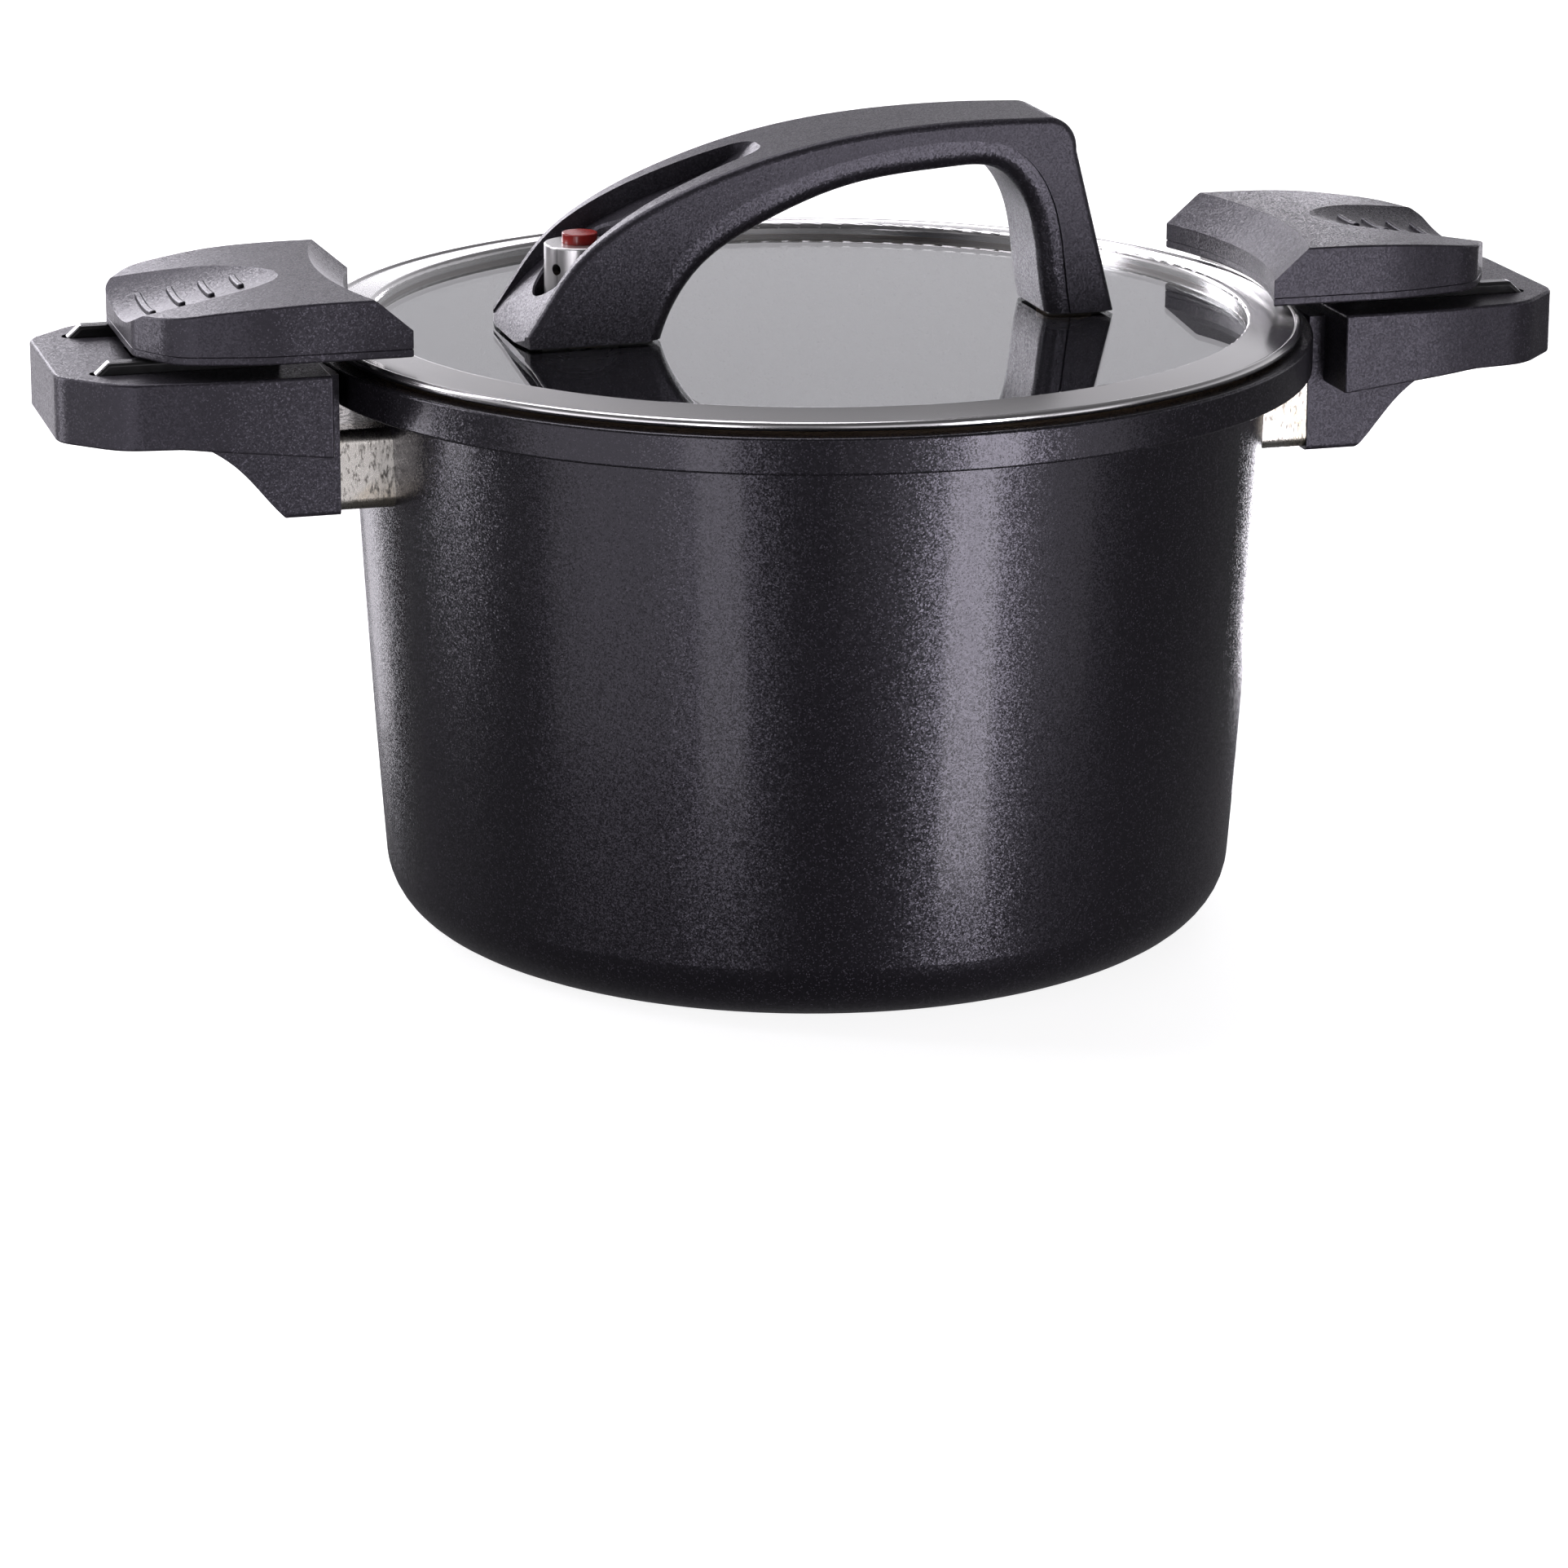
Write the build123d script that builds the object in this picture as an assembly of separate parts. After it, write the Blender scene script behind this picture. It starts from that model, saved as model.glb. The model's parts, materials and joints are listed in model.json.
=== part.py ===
from build123d import *
import math
import os

# Stovetop pressure cooker with a glass lid, two side grips with sliding latches,
# and an arched lid handle that holds the steam valve.
# Millimetres.  +Z is up, the base stands on Z = 0 and the pot axis is the Z axis.
# The side grips lie along X.  The valve end of the lid handle points to -X.

# ---------------------------------------------------------------- driving dimensions
RIM_Z = 151.0            # top of the rim band
RIM_RADIUS = 127.0       # outside of the rim band
RIM_BAND = 8.9           # height of the rim band
WALL_TOP_RADIUS = 115.7  # outside of the body just under the band
WALL_BASE_RADIUS = 107.3
WALL_BULGE = 0.6
WALL = 4.2
FLOOR = 6.5
BASE_CORNER = 17.0
DISC_RADIUS = 82.0
DISC_THICKNESS = 3.0
SEAT_RADIUS = 120.6      # recess inside the rim for the lid seal
SEAT_Z = RIM_Z - 5.2

GLASS_TOP = RIM_Z + 1.2
GLASS_THICKNESS = 4.0
GLASS_BOTTOM = GLASS_TOP - GLASS_THICKNESS
GLASS_RADIUS = 116.0
RING_RADIUS = 124.2      # outside of the rolled bead
BEAD = 1.15
RING_APEX_RADIUS = 112.0
RING_APEX_Z = RIM_Z + 3.95
SHEET = 0.8

FIT = 0.1                # running fit on radius
GAP = 0.3                # free space between bodies that pass each other

# side grips, measured outwards from the pot axis
GRIP_INNER_X = 130.0
GRIP_OUTER_X = 194.0
GRIP_TOP = RIM_Z + 2.6
GRIP_BOTTOM = RIM_Z - 13.7
GRIP_INNER_BOTTOM = RIM_Z - 17.8
GRIP_WALL = 3.0
GRIP_ROUNDING = 0.6
FOOT_X = 125.8           # face of the foot that meets the ferrule
FOOT_BOTTOM = RIM_Z - 35.6
FOOT_HALF = 25.0
CORE_TOP = RIM_Z - 9.6
FERRULE_HALF = 24.5
FERRULE_BOTTOM = RIM_Z - 35.0
FERRULE_TOP = RIM_Z - 15.0
FERRULE_SHEET = 1.2
HANDLE_SCREW_Z = (FERRULE_BOTTOM + FERRULE_TOP) / 2

RAIL_Y = 22.0
RAIL_HALF = 2.3
RAIL_TOP = RIM_Z + 5.5
RAIL_START_X = 140.0
RAIL_END_X = 184.5
GUIDE_TOP = GRIP_TOP - GRIP_WALL
GUIDE_THICKNESS = 3.0
GUIDE_BOTTOM = GUIDE_TOP - GUIDE_THICKNESS

# latch, drawn in its closed place
LATCH_TRAVEL = 10.0
LATCH_BOTTOM = RIM_Z + 5.9
LATCH_PLATE = 2.2
LATCH_SPLIT = LATCH_BOTTOM + LATCH_PLATE
LATCH_FRONT_RADIUS = 117.0
LATCH_CHAMFER_Z = RIM_Z + 12.5
LATCH_TOP_RADIUS = 125.6
LATCH_TOP_Z = RIM_Z + 20.4
LATCH_END_Z = RIM_Z + 16.0
LATCH_END_X = 175.0
LATCH_WALL = 2.4
SCOOP_RADIUS = 68.0      # thumb scoop in the top of the latch
SCOOP_TIP_X = 142.5
SCOOP_DEPTH = 2.8        # at the latch's outer end
RIB_START_X = 145.8
RIB_PITCH = 7.5
RIB_COUNT = 4
RIB_FIRST_HALF = 6.4     # half length of the innermost rib
RIB_GROWTH = 1.7         # added to the half length of each next rib
RIB_WIDTH = 1.7
RIB_HEIGHT = 1.0
BALL_RADIUS = 3.0
DETENT = (150.0, 13.5)   # place of the detent ball in plan
BARREL_RADIUS = 4.4
BARREL_TOP = LATCH_SPLIT + 6.2
BARREL_ROOF = 1.0
JAW_THICKNESS = 1.0
JAW_INNER_RADIUS = 118.5
JAW_OUTER_RADIUS = 128.0
KEEL_X = (146.0, 162.0)
KEEL_HALF = 6.0
KEEPER_THICKNESS = 2.5
KEEPER_TOP = GUIDE_BOTTOM - GAP
SLOT_HALF = KEEL_HALF + GAP

# lid handle
PAD = 0.6                # gaskets under the two feet of the lid handle
FOOT_Z = GLASS_TOP + PAD
HANDLE_TOP = RIM_Z + 52.4
HANDLE_FRONT_X = -79.4
HANDLE_CORNER_X = -77.0  # front corners; between them the foot bulges forwards
HANDLE_REAR_X = 76.8
HANDLE_FRONT_HALF = 20.0
HANDLE_REAR_HALF = 14.0
VALVE_X = -59.4
REAR_SCREW_X = 68.0
WASHER = 2.2             # silicone washer under the glass at the rear foot

# steam valve
CAP_RADIUS = 8.9
CAP_TOP = RIM_Z + 23.9
CAP_BOTTOM = RIM_Z + 6.3
CAP_ROOF = 1.8
COLLAR = 1.6             # flange on the button that keeps it under the cap's roof
COLLAR_BOTTOM = CAP_TOP - CAP_ROOF - COLLAR - 0.05
FLANGE_BOTTOM = FOOT_Z + 2.5
BUTTON_RADIUS = 4.45
BUTTON_TOP = RIM_Z + 26.5
STEM_RADIUS = 6.0
POPPET_RADIUS = 1.5
VALVE_GASKET = 1.5       # ring between the glass and the valve nut
WELL_RADIUS = 11.4       # well in the lid handle round the valve


# ---------------------------------------------------------------- small helpers
def outline(points, radii):
    """Closed outline with a rounding at each corner."""
    return make_face(FilletPolyline(*points, radius=radii, close=True))


def lathe(section):
    """Turn a section drawn in radius and height about the pot axis."""
    return revolve(Plane.XZ * section, Axis.Z)


def across(section, half_width):
    """Give a side view a width, evenly to both sides of the X axis."""
    return extrude(Plane.XZ * section, amount=half_width, both=True)


def upright(section, low, high):
    """Raise a plan view from one height to another."""
    return extrude(Pos(0, 0, low) * section, amount=high - low)


def rod(x, y, low, high, radius):
    return Pos(x, y, (low + high) / 2) * Cylinder(radius, high - low)


def rod_along_x(low, high, y, z, radius):
    return Pos((low + high) / 2, y, z) * Rot(0, 90, 0) * Cylinder(radius, high - low)


def block(x, y, z):
    """Box from three (low, high) pairs."""
    size = [pair[1] - pair[0] for pair in (x, y, z)]
    middle = [(pair[0] + pair[1]) / 2 for pair in (x, y, z)]
    return Pos(*middle) * Box(*size)


def mirrored(points):
    """Plan outline: the points of the +Y half and their mirror images."""
    return points + [(x, -y) for x, y in reversed(points)]


def coil(x, y, low, high, radius, wire, turns):
    """Round wire spring that stands upright."""
    rise = high - low - 2 * wire
    path = Helix(pitch=rise / turns, height=rise, radius=radius)
    start = Plane(origin=path @ 0, z_dir=path % 0)
    spring = sweep(start * Circle(wire), path=path, is_frenet=True)
    return Pos(x, y, low + wire) * spring


def group(*solids):
    return Compound(children=list(solids))


# ---------------------------------------------------------------- pot
def wall_line(inset):
    """Bulged wall line as three points, moved inwards by the inset."""
    top_z = RIM_Z - RIM_BAND
    middle = (WALL_TOP_RADIUS + WALL_BASE_RADIUS) / 2 + WALL_BULGE
    return [
        (WALL_BASE_RADIUS - inset, 0),
        (middle - inset, top_z / 2),
        (WALL_TOP_RADIUS - inset, top_z),
    ]


def turned_bowl(inset, floor_z, corner, top_z):
    """Solid inside a wall line, with a rounded bottom corner."""
    low, middle, high = wall_line(inset)
    edges = [Line((0, 0), low), ThreePointArc(low, middle, high)]
    edges.append(Polyline(high, (0, high[1]), (0, 0)))
    section = make_face(edges)
    if top_z > high[1]:
        section += Pos(high[0] / 2, (high[1] + top_z) / 2) * Rectangle(high[0], top_z - high[1])
    if floor_z:
        section -= Pos(0, floor_z / 2) * Rectangle(3 * RIM_RADIUS, floor_z)
    foot = section.vertices().filter_by_position(Axis.Y, floor_z - 1, floor_z + 1)
    section = fillet(foot.sort_by(Axis.X)[-1], corner)
    return lathe(section)


def grip_lug():
    """Cast lug that carries a ferrule."""
    clearance = FERRULE_SHEET + FIT
    shape = outline(
        [(-FERRULE_HALF + clearance, FERRULE_BOTTOM + clearance),
         (FERRULE_HALF - clearance, FERRULE_BOTTOM + clearance),
         (FERRULE_HALF - clearance, FERRULE_TOP - clearance),
         (-FERRULE_HALF + clearance, FERRULE_TOP - clearance)],
        [2.0] * 4,
    )
    return extrude(Plane.YZ * shape, amount=FOOT_X - 1.5)


def pot_body():
    band = upright(Circle(RIM_RADIUS), RIM_Z - RIM_BAND, RIM_Z)
    band = fillet(band.edges().filter_by(GeomType.CIRCLE), 0.7)
    pot = turned_bowl(0, 0, BASE_CORNER, RIM_Z - RIM_BAND) + band
    tapped_hole = rod_along_x(FOOT_X - 13, FOOT_X, 0, HANDLE_SCREW_Z, 2.5 + FIT / 2)
    for turn in (0, 180):
        pot += Rot(0, 0, turn) * grip_lug()
        pot -= Rot(0, 0, turn) * tapped_hole
    pot -= turned_bowl(WALL, FLOOR, BASE_CORNER - WALL, RIM_Z + 1)
    pot -= upright(Circle(SEAT_RADIUS), SEAT_Z, RIM_Z + 1)
    pot -= upright(Circle(DISC_RADIUS), -1, DISC_THICKNESS)
    return pot


def induction_disc():
    """Steel disc let into the base, flush with its underside."""
    disc = upright(Circle(DISC_RADIUS), 0, DISC_THICKNESS)
    return chamfer(disc.edges().sort_by(Axis.Z)[0], 0.4)


# ---------------------------------------------------------------- side grip, right hand
def grip_plan(inset):
    """Plan outline of the grip, drawn inwards by the inset."""
    half = [(GRIP_INNER_X, 39.6), (158.0, 39.4), (181.0, 36.0), (GRIP_OUTER_X, 22.5)]
    corners = [0, 90, 16, 9]
    plan = outline(mirrored(half), corners + corners[::-1])
    return offset(plan, -inset, kind=Kind.INTERSECTION) if inset else plan


def ferrule():
    """Steel sleeve between the pot wall and the grip foot."""
    shape = outline(
        [(-FERRULE_HALF, FERRULE_BOTTOM), (FERRULE_HALF, FERRULE_BOTTOM),
         (FERRULE_HALF, FERRULE_TOP), (-FERRULE_HALF, FERRULE_TOP)],
        [3.2] * 4,
    )
    sleeve = extrude(Plane.YZ * (shape - offset(shape, -FERRULE_SHEET)), amount=FOOT_X)
    return sleeve - turned_bowl(0, 0, BASE_CORNER, RIM_Z - RIM_BAND)


def handle_screw():
    """Socket-head screw that pulls the foot and the ferrule onto the lug."""
    head_x = FOOT_X + 12.0
    shank = rod_along_x(FOOT_X - 12, head_x, 0, HANDLE_SCREW_Z, 2.5)
    head = rod_along_x(head_x, head_x + 5, 0, HANDLE_SCREW_Z, 4.2)
    socket = extrude(RegularPolygon(2.3, 6), amount=2.8)
    return shank + head - Pos(head_x + 5, 0, HANDLE_SCREW_Z) * Rot(0, -90, 0) * socket


def foot_profile():
    """Side view of the foot, the neck beside the rim and the arch under the grip."""
    arch_foot = (139.2, FOOT_BOTTOM)
    arch_end = (168.0, GRIP_BOTTOM)
    edges = [
        Line((FOOT_X, FOOT_BOTTOM), arch_foot),
        Spline(arch_foot, (144.6, RIM_Z - 29.6), (151.8, RIM_Z - 21.6), (159.0, RIM_Z - 16.6),
               arch_end, tangents=((1, 0.9), (1, 0.1))),
        Line(arch_end, (arch_end[0], CORE_TOP)),
        Line((arch_end[0], CORE_TOP), (GRIP_INNER_X + 3.5, CORE_TOP)),
        Line((GRIP_INNER_X + 3.5, CORE_TOP), (GRIP_INNER_X + 3.5, GUIDE_TOP)),
        Line((GRIP_INNER_X + 3.5, GUIDE_TOP), (FOOT_X, GUIDE_TOP)),
        Line((FOOT_X, GUIDE_TOP), (FOOT_X, FOOT_BOTTOM)),
    ]
    return make_face(edges)


def grip_screw_places():
    return [(x, sign * y) for x, y in ((150.0, 32.0), (174.0, 30.5)) for sign in (1, -1)]


def guide_post_places():
    return [(x, sign * y) for x, y in ((139.0, 19.0), (183.0, 10.0)) for sign in (1, -1)]


def grip_core():
    """Foot, neck and the floor that closes the grip from below."""
    foot = across(foot_profile(), FOOT_HALF)
    lower_edges = foot.edges().filter_by(Axis.X).group_by(Axis.Z)[0]
    foot = fillet(lower_edges, 1.5)
    core = foot + upright(grip_plan(GRIP_WALL + FIT), GRIP_BOTTOM, CORE_TOP)
    for x, y in guide_post_places():
        core += rod(x, y, CORE_TOP, GUIDE_BOTTOM, 3.0)
    core -= upright(Circle(RIM_RADIUS + 0.5), RIM_Z - RIM_BAND - 0.5, RIM_Z + 10)
    core -= rod_along_x(FOOT_X - 1, 160, 0, HANDLE_SCREW_Z, 2.6)
    core -= rod_along_x(FOOT_X + 12, 175, 0, HANDLE_SCREW_Z, 4.8)
    for x, y in grip_screw_places():
        core -= rod(x, y, GRIP_BOTTOM - 5, CORE_TOP + 1, 1.7)
        core -= rod(x, y, GRIP_BOTTOM - 5, GRIP_BOTTOM + 2.2, 3.0)
    return core


def grip_shell():
    """Outer casing of the grip with slots for the rails and for the keel."""
    low = GRIP_INNER_BOTTOM
    body = upright(grip_plan(0), low, GRIP_TOP)
    body = fillet(body.edges().group_by(Axis.Z)[-1], 0.8)
    sloped = outline(
        [(GRIP_INNER_X - 5, low - 0.5), (166.0, GRIP_BOTTOM), (200.0, GRIP_BOTTOM),
         (200.0, low - 10), (GRIP_INNER_X - 5, low - 10)],
        [0, 40, 0, 0, 0],
    )
    body -= across(sloped, 60)
    body = fillet(lower_rim(body), GRIP_ROUNDING)
    corners = body.edges().filter_by(Axis.Z).filter_by(lambda edge: edge.center().X < GRIP_INNER_X + 1)
    body = fillet(corners, GRIP_ROUNDING)
    body -= upright(grip_plan(GRIP_WALL), low - 1, GUIDE_TOP)
    body -= block((GRIP_INNER_X - 1, GRIP_INNER_X + 5), (-FOOT_HALF - FIT, FOOT_HALF + FIT),
                  (low - 1, GUIDE_TOP))
    for sign in (1, -1):
        slot = SlotCenterToCenter(RAIL_END_X - RAIL_START_X - 3, 2 * (RAIL_HALF + 0.5))
        place = Pos((RAIL_START_X + RAIL_END_X) / 2, sign * RAIL_Y)
        body -= upright(place * slot, GUIDE_TOP - 1, GRIP_TOP + 1)
    body -= block((KEEL_X[0] - 1, KEEL_X[1] + LATCH_TRAVEL + 1), (-SLOT_HALF, SLOT_HALF),
                  (GUIDE_TOP - 1, GRIP_TOP + 1))
    for x, y in grip_screw_places():
        boss = rod(x, y, CORE_TOP, GUIDE_TOP + 0.5, 3.2)
        body += boss - rod(x, y, CORE_TOP, GUIDE_TOP - 2, 1.3)
    return body


def lower_rim(body):
    """Lower edges of the casing along its sides and round its outer end."""
    rim = []
    for edge in body.edges():
        middle = edge @ 0.5
        inner_edge = middle.X < GRIP_INNER_X + 0.5 and abs(middle.Y) < 30
        if middle.Z < GRIP_BOTTOM + 0.3 and not inner_edge:
            rim.append(edge)
    return rim


def grip_screws():
    """Four pan-head screws from below."""
    screws = []
    for x, y in grip_screw_places():
        head = rod(x, y, GRIP_BOTTOM + 0.2, GRIP_BOTTOM + 2.2, 2.8)
        slot = block((x - 3, x + 3), (y - 0.4, y + 0.4), (GRIP_BOTTOM, GRIP_BOTTOM + 1.0))
        screws.append(head + rod(x, y, GRIP_BOTTOM + 2.2, GUIDE_TOP - 3, 1.25) - slot)
    return group(*screws)


def guide_plate():
    """Plate under the casing's top with two rails that stand up through it."""
    plan = Rectangle(52, 54)
    plate = upright(Pos(161, 0) * plan, GUIDE_BOTTOM, GUIDE_TOP)
    plate &= upright(grip_plan(GRIP_WALL + 0.4), GUIDE_BOTTOM, GUIDE_TOP)
    rail_view = outline(
        [(RAIL_START_X, GUIDE_TOP), (RAIL_END_X, GUIDE_TOP), (RAIL_END_X, GRIP_TOP),
         (RAIL_END_X - 3.2, RAIL_TOP), (RAIL_START_X, RAIL_TOP)],
        [0, 0, 0, 1.0, 0],
    )
    for sign in (1, -1):
        rail = across(rail_view, RAIL_HALF)
        rail = fillet(rail.edges().filter_by(Axis.X).group_by(Axis.Z)[-1], 1.0)
        plate += Pos(0, sign * RAIL_Y, 0) * rail
    plate -= block((KEEL_X[0] - 1, KEEL_X[1] + LATCH_TRAVEL + 1), (-SLOT_HALF, SLOT_HALF),
                   (GUIDE_BOTTOM - 1, GUIDE_TOP + 1))
    return plate


# ---------------------------------------------------------------- latch, right hand
def latch_plan(inset):
    """Plan outline of the latch, drawn inwards by the inset; it starts inside the lid."""
    half = [(100.0, 39.3), (146.0, 39.0), (167.0, 34.0), (LATCH_END_X, 20.5)]
    corners = [0, 60, 13, 8]
    plan = outline(mirrored(half), corners + corners[::-1])
    return offset(plan, -inset, kind=Kind.INTERSECTION) if inset else plan


def lid_side_cut(inset):
    """Turned solid that cuts the concave front of the latch and its chamfer."""
    slope = (LATCH_TOP_RADIUS - LATCH_FRONT_RADIUS) / (LATCH_TOP_Z - LATCH_CHAMFER_Z)
    front = LATCH_FRONT_RADIUS + inset
    section = Polyline(
        (0, 0), (front, 0), (front, LATCH_CHAMFER_Z - 0.4 * inset),
        (front + slope * 20, LATCH_CHAMFER_Z + 20 - 0.4 * inset),
        (0, LATCH_CHAMFER_Z + 20), close=True,
    )
    return lathe(make_face(section))


def latch_block(inset):
    """Outer form of the latch above its bottom plate, drawn inwards by the inset."""
    body = upright(latch_plan(inset), LATCH_SPLIT, LATCH_TOP_Z + 5)
    high = LATCH_TOP_Z - inset
    edges = [
        Line((90, LATCH_SPLIT), (90, high)),
        Line((90, high), (126, high)),
        Spline((126, high), (152, high - 1.2), (180, LATCH_END_Z - 0.5 - inset),
               tangents=((1, 0), (1, -0.13))),
        Line((180, LATCH_END_Z - 0.5 - inset), (180, LATCH_SPLIT)),
        Line((180, LATCH_SPLIT), (90, LATCH_SPLIT)),
    ]
    body &= across(make_face(edges), 60)
    return body - lid_side_cut(inset)


def thumb_scoop(lift):
    """Shallow tilted trough, deepest at the outer end; the lift raises its floor."""
    length = LATCH_END_X - SCOOP_TIP_X
    drop = LATCH_TOP_Z - LATCH_END_Z + SCOOP_DEPTH
    tilt = math.degrees(math.atan2(drop, length))
    tip = Pos(SCOOP_TIP_X, 0, LATCH_TOP_Z + SCOOP_RADIUS) * Rot(0, 90 + tilt, 0)
    return tip * Pos(0, 0, 15) * Cylinder(SCOOP_RADIUS - lift, 100)


def latch_screw_places():
    return [(x, sign * y) for x, y in ((132.0, 30.5), (165.0, 14.5)) for sign in (1, -1)]


def latch_ribs():
    """Rounded grip ribs that stand up from the scoop's floor."""
    raised = thumb_scoop(-1.0) - thumb_scoop(RIB_HEIGHT)
    ribs = []
    for index in range(RIB_COUNT):
        x = RIB_START_X + RIB_PITCH * index
        half = RIB_FIRST_HALF + RIB_GROWTH * index
        bar = Pos(x, 0) * SlotOverall(2 * half, RIB_WIDTH, rotation=90)
        rib = upright(bar, LATCH_SPLIT, LATCH_TOP_Z + 2) & raised
        ribs.append(fillet(rib.edges().group_by(Axis.Z)[-1], 0.45))
    return ribs


def latch_cover():
    """Hollow sliding cover with a chamfered front and a thumb scoop."""
    body = latch_block(0)
    body = fillet(body.edges().filter_by(lambda edge: is_top_rim(edge)), 0.5)
    body -= thumb_scoop(0)
    hollow = latch_block(LATCH_WALL) - thumb_scoop(-LATCH_WALL)
    for x, y in latch_screw_places():
        hollow -= rod(x, y, LATCH_SPLIT - 1, LATCH_TOP_Z, 3.0)
    body -= hollow
    for x, y in latch_screw_places():
        body -= rod(x, y, LATCH_SPLIT - 1, LATCH_SPLIT + 5, 1.15)
    for rib in latch_ribs():
        body += rib
    return body


def is_top_rim(edge):
    """Edges of the sloped top face along the sides of the latch."""
    centre = edge.center()
    return centre.Z > LATCH_END_Z - 1.5 and centre.X > LATCH_TOP_RADIUS + 1


def latch_base():
    """Bottom plate with the keel that runs in the grip's slot and the detent barrel."""
    plate = upright(latch_plan(0), LATCH_BOTTOM, LATCH_SPLIT) - lid_side_cut(0)
    plate = fillet(plate.edges().group_by(Axis.Z)[0], 0.6)
    plate = chamfer(plate.edges().group_by(Axis.Z)[-1], 0.3)
    plate += block(KEEL_X, (-KEEL_HALF, KEEL_HALF), (KEEPER_TOP, LATCH_BOTTOM + 0.5))
    plate += rod(*DETENT, LATCH_SPLIT - 1, BARREL_TOP, BARREL_RADIUS)
    plate -= rod(*DETENT, LATCH_BOTTOM - 1, BARREL_TOP - BARREL_ROOF, BALL_RADIUS + FIT)
    keel_middle = sum(KEEL_X) / 2
    plate -= rod(keel_middle, 0, KEEPER_TOP - 1, KEEPER_TOP + 7, 1.65)
    for x, y in latch_screw_places():
        plate -= rod(x, y, LATCH_BOTTOM - 1, LATCH_SPLIT + 1, 1.4)
        plate -= rod(x, y, LATCH_BOTTOM - 1, LATCH_BOTTOM + 1.2, 2.5)
    for x, y in jaw_rivet_places():
        plate -= rod(x, y, LATCH_BOTTOM - 1, LATCH_SPLIT + 1, 1.5)
    return plate


def detent_ball():
    return Pos(*DETENT, GRIP_TOP + GAP + BALL_RADIUS) * Sphere(BALL_RADIUS)


def detent_spring():
    low = GRIP_TOP + GAP + 2 * BALL_RADIUS + 0.05
    high = BARREL_TOP - BARREL_ROOF - 0.05
    return coil(*DETENT, low, high, 2.2, 0.35, 3)


def jaw_rivet_places():
    angle = math.radians(10.5)
    radius = 124.5
    return [(radius * math.cos(angle), sign * radius * math.sin(angle)) for sign in (1, -1)]


def latch_jaw():
    """Steel plate under the front of the latch that reaches over the lid ring."""
    low = LATCH_BOTTOM - JAW_THICKNESS
    ring = upright(Circle(JAW_OUTER_RADIUS), low, LATCH_BOTTOM)
    ring -= upright(Circle(JAW_INNER_RADIUS), low - 1, LATCH_BOTTOM + 1)
    jaw = ring & block((90, 140), (-29, 29), (low, LATCH_BOTTOM))
    jaw = fillet(jaw.edges().filter_by(Axis.Z), 1.5)
    for x, y in jaw_rivet_places():
        jaw -= rod(x, y, low - 1, LATCH_BOTTOM + 1, 1.5)
    return jaw


def jaw_rivets():
    """Two rivets that hold the jaw to the bottom plate, their heads on top of it."""
    low = LATCH_BOTTOM - JAW_THICKNESS
    rivets = []
    for x, y in jaw_rivet_places():
        shank = rod(x, y, low, LATCH_SPLIT, 1.45)
        rivets.append(shank + rod(x, y, LATCH_SPLIT, LATCH_SPLIT + 0.9, 2.6))
    return group(*rivets)


def latch_screws():
    """Four screws that hold the cover on its bottom plate."""
    screws = []
    for x, y in latch_screw_places():
        head = rod(x, y, LATCH_BOTTOM + 0.1, LATCH_BOTTOM + 1.2, 2.4)
        screws.append(head + rod(x, y, LATCH_BOTTOM + 1.2, LATCH_SPLIT + 4.5, 1.1))
    return group(*screws)


def latch_keeper():
    """Plate under the guide plate that keeps the latch from lifting."""
    low = KEEPER_TOP - KEEPER_THICKNESS
    middle = sum(KEEL_X) / 2
    plan = Pos(middle, 0) * RectangleRounded(22, 22, 2)
    return upright(plan, low, KEEPER_TOP) - rod(middle, 0, low - 1, KEEPER_TOP + 1, 2.1)


def keeper_screw():
    low = KEEPER_TOP - KEEPER_THICKNESS
    middle = sum(KEEL_X) / 2
    screw = rod(middle, 0, low - 2.0, low, 3.6) + rod(middle, 0, low, KEEPER_TOP + 6.5, 1.6)
    socket = extrude(RegularPolygon(1.5, 6), amount=1.2)
    return screw - Pos(middle, 0, low - 2.0) * socket


# ---------------------------------------------------------------- lid
def lid_ring():
    """Steel ring: lip on the glass, sloped ring surface and a rolled outer bead."""
    bead_radius = RING_RADIUS - BEAD
    bead_z = RIM_Z + 1.95
    outer_top = (bead_radius - 1.0, RIM_Z + 2.75)
    lip = RING_APEX_RADIUS - 1.5
    edges = [
        Line((lip, GLASS_TOP), (lip, RING_APEX_Z - 1.3)),
        ThreePointArc((lip, RING_APEX_Z - 1.3), (lip + 0.4, RING_APEX_Z - 0.35),
                      (RING_APEX_RADIUS, RING_APEX_Z)),
        Line((RING_APEX_RADIUS, RING_APEX_Z), outer_top),
        Line(outer_top, (outer_top[0], outer_top[1] - SHEET)),
        Line((outer_top[0], outer_top[1] - SHEET), (RING_APEX_RADIUS + 0.3, RING_APEX_Z - SHEET)),
        Line((RING_APEX_RADIUS + 0.3, RING_APEX_Z - SHEET), (lip + SHEET, RING_APEX_Z - 1.6)),
        Line((lip + SHEET, RING_APEX_Z - 1.6), (lip + SHEET, GLASS_TOP)),
        Line((lip + SHEET, GLASS_TOP), (lip, GLASS_TOP)),
    ]
    bead = Pos(bead_radius, bead_z) * Circle(BEAD)
    return lathe(make_face(edges) + bead)


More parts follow.
